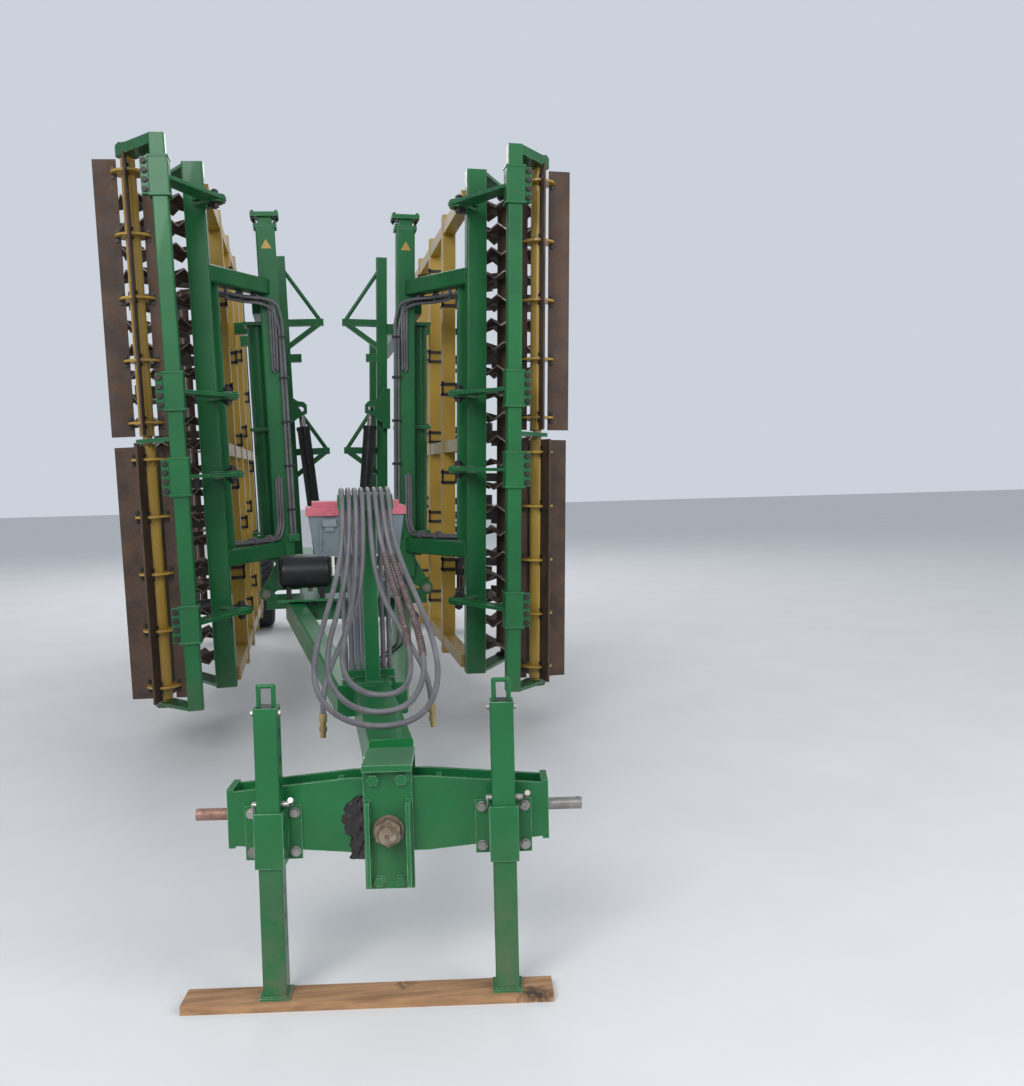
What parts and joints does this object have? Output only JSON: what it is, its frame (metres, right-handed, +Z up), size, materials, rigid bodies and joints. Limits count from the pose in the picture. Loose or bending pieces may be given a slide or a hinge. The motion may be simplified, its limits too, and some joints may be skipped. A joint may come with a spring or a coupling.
{
  "type": "folded field cultivator",
  "caption": "Towed field cultivator with both wings folded upright, tine frames, knife and ring rollers, a long drawbar and a linkage headstock on parking legs.",
  "frame": {"origin": "centre of the machine's bounding box on the ground", "axes": "-Y towards the tractor, +Y along the machine to its wheels, +X to the machine's left when driving, +Z up"},
  "size_m": [2.7302, 8.975, 3.3744],
  "materials": {
    "green_paint": "gloss",
    "yellow_paint": "gloss",
    "rusty_steel": "rusty",
    "dark_steel": "worn",
    "bright_steel": "worn",
    "wood": "rough",
    "tyre": "matt",
    "black_paint": "satin",
    "box_grey": "satin",
    "box_red": "satin",
    "hose_rubber": "matt"
  },
  "bodies": {
    "chassis": {"tongue": "green_paint", "v_beams": "green_paint", "chassis_rails": "green_paint", "chassis_crossbeams": "green_paint", "axle_beam": "green_paint", "hose_post": "green_paint", "toolbox": "box_grey", "air_tank": "black_paint", "brake_valve": "bright_steel", "hose_outer": "hose_rubber", "hose_middle": "hose_rubber", "hose_inner": "hose_rubber", "hose_left": "hose_rubber", "hose_right": "hose_rubber", "coupler_left": "bright_steel", "coupler_right": "bright_steel"},
    "yoke": {"yoke": "green_paint"},
    "headstock": {"crossbar": "green_paint", "centre_plate": "green_paint", "leg_sleeves": "green_paint", "board": "wood"},
    "leg_left": {"leg_left": "green_paint"},
    "leg_right": {"leg_right": "green_paint"},
    "toolbox_lid": {"toolbox_lid": "box_red"},
    "wing_left": {"main_beam_left": "green_paint", "knife_carrier_left": "green_paint", "front_column_left": "green_paint", "arms_left": "green_paint", "inner_frame_left": "green_paint", "tine_posts_left": "yellow_paint", "tine_rails_left": "yellow_paint", "tines_left": "dark_steel", "rear_carrier_left": "green_paint", "wing_lines_left": "hose_rubber"},
    "fold_barrel_left": {"fold_barrel_left": "black_paint"},
    "fold_rod_left": {"fold_rod_left": "bright_steel"},
    "knife_roller_lower_left": {"knife_roller_lower_left": "rusty_steel"},
    "knife_roller_upper_left": {"knife_roller_upper_left": "rusty_steel"},
    "ring_roller_left": {"ring_roller_left": "rusty_steel"},
    "rear_roller_left": {"rear_roller_left": "rusty_steel"},
    "wheel_left": {"tyre_left": "tyre", "rim_left": "yellow_paint"},
    "wing_right": {"main_beam_right": "green_paint", "knife_carrier_right": "green_paint", "front_column_right": "green_paint", "arms_right": "green_paint", "inner_frame_right": "green_paint", "tine_posts_right": "yellow_paint", "tine_rails_right": "yellow_paint", "tines_right": "dark_steel", "rear_carrier_right": "green_paint", "wing_lines_right": "hose_rubber"},
    "fold_barrel_right": {"fold_barrel_right": "black_paint"},
    "fold_rod_right": {"fold_rod_right": "bright_steel"},
    "knife_roller_lower_right": {"knife_roller_lower_right": "rusty_steel"},
    "knife_roller_upper_right": {"knife_roller_upper_right": "rusty_steel"},
    "ring_roller_right": {"ring_roller_right": "rusty_steel"},
    "rear_roller_right": {"rear_roller_right": "rusty_steel"},
    "wheel_right": {"tyre_right": "tyre", "rim_right": "yellow_paint"}
  },
  "joints": [
    {"name": "hitch_yaw", "type": "hinge", "parent": "chassis", "child": "yoke", "pos_m": [0, -4.06, 0.5], "axis": [0, 0, 1], "range_deg": [-51.4, 68.6]},
    {"name": "hitch_roll", "type": "hinge", "parent": "yoke", "child": "headstock", "pos_m": [-0.02976, -4.25676, 0.508], "axis": [0.1495, 0.9888, 0], "range_deg": [-12, 12]},
    {"name": "toolbox_lid_hinge", "type": "hinge", "parent": "chassis", "child": "toolbox_lid", "pos_m": [-0.03, -2.28, 1.3853], "axis": [-1, 0, 0], "range_deg": [0, 95]},
    {"name": "leg_left_slide", "type": "slide", "parent": "headstock", "child": "leg_left", "axis": [0, 0, 1], "range_m": [0, 0.3]},
    {"name": "wing_left_fold", "type": "hinge", "parent": "chassis", "child": "wing_left", "pos_m": [-0.52, 0, 0.8], "axis": [0, -1, 0], "range_deg": [0, 88.5]},
    {"name": "fold_barrel_left_hinge", "type": "hinge", "parent": "chassis", "child": "fold_barrel_left", "pos_m": [-0.15, 0.9, 0.9], "axis": [0, -1, 0], "range_deg": [0, 77.77]},
    {"name": "fold_rod_left_slide", "type": "slide", "parent": "fold_barrel_left", "child": "fold_rod_left", "axis": [-0.0965, 0, 0.9953], "range_m": [0, 0.4692]},
    {"name": "knife_roller_lower_left_spin", "type": "hinge", "parent": "wing_left", "child": "knife_roller_lower_left", "pos_m": [-1.09299, -1.23, 1.78534], "axis": [-0.0262, 0, 0.9997], "continuous": true},
    {"name": "knife_roller_upper_left_spin", "type": "hinge", "parent": "wing_left", "child": "knife_roller_upper_left", "pos_m": [-1.09299, -1.23, 1.78534], "axis": [-0.0262, 0, 0.9997], "continuous": true},
    {"name": "ring_roller_left_spin", "type": "hinge", "parent": "wing_left", "child": "ring_roller_left", "pos_m": [-1.066, -0.33, 1.78605], "axis": [-0.0262, 0, 0.9997], "continuous": true},
    {"name": "rear_roller_left_spin", "type": "hinge", "parent": "wing_left", "child": "rear_roller_left", "pos_m": [-1.13597, 3.2, 1.78421], "axis": [-0.0262, 0, 0.9997], "continuous": true},
    {"name": "wheel_left_spin", "type": "hinge", "parent": "chassis", "child": "wheel_left", "pos_m": [-0.8, 4.0525, 0.435], "axis": [1, 0, 0], "continuous": true},
    {"name": "leg_right_slide", "type": "slide", "parent": "headstock", "child": "leg_right", "axis": [0, 0, 1], "range_m": [0, 0.3]},
    {"name": "wing_right_fold", "type": "hinge", "parent": "chassis", "child": "wing_right", "pos_m": [0.52, 0, 0.8], "axis": [0, 1, 0], "range_deg": [0, 88.5]},
    {"name": "fold_barrel_right_hinge", "type": "hinge", "parent": "chassis", "child": "fold_barrel_right", "pos_m": [0.15, 0.9, 0.9], "axis": [0, 1, 0], "range_deg": [0, 77.77]},
    {"name": "fold_rod_right_slide", "type": "slide", "parent": "fold_barrel_right", "child": "fold_rod_right", "axis": [0.0965, 0, 0.9953], "range_m": [0, 0.4692]},
    {"name": "knife_roller_lower_right_spin", "type": "hinge", "parent": "wing_right", "child": "knife_roller_lower_right", "pos_m": [1.09299, -1.23, 1.78534], "axis": [0.0262, 0, 0.9997], "continuous": true},
    {"name": "knife_roller_upper_right_spin", "type": "hinge", "parent": "wing_right", "child": "knife_roller_upper_right", "pos_m": [1.09299, -1.23, 1.78534], "axis": [0.0262, 0, 0.9997], "continuous": true},
    {"name": "ring_roller_right_spin", "type": "hinge", "parent": "wing_right", "child": "ring_roller_right", "pos_m": [1.066, -0.33, 1.78605], "axis": [0.0262, 0, 0.9997], "continuous": true},
    {"name": "rear_roller_right_spin", "type": "hinge", "parent": "wing_right", "child": "rear_roller_right", "pos_m": [1.13597, 3.2, 1.78421], "axis": [0.0262, 0, 0.9997], "continuous": true},
    {"name": "wheel_right_spin", "type": "hinge", "parent": "chassis", "child": "wheel_right", "pos_m": [0.8, 4.0525, 0.435], "axis": [1, 0, 0], "continuous": true}
  ],
  "couplings": [
    {"joint": "fold_barrel_left_hinge", "follows": "wing_left_fold", "ratio": 0.87817},
    {"joint": "fold_rod_left_slide", "follows": "wing_left_fold", "m_per_rad": 0.30342},
    {"joint": "fold_barrel_right_hinge", "follows": "wing_right_fold", "ratio": 0.87817},
    {"joint": "fold_rod_right_slide", "follows": "wing_right_fold", "m_per_rad": 0.30342}
  ]
}
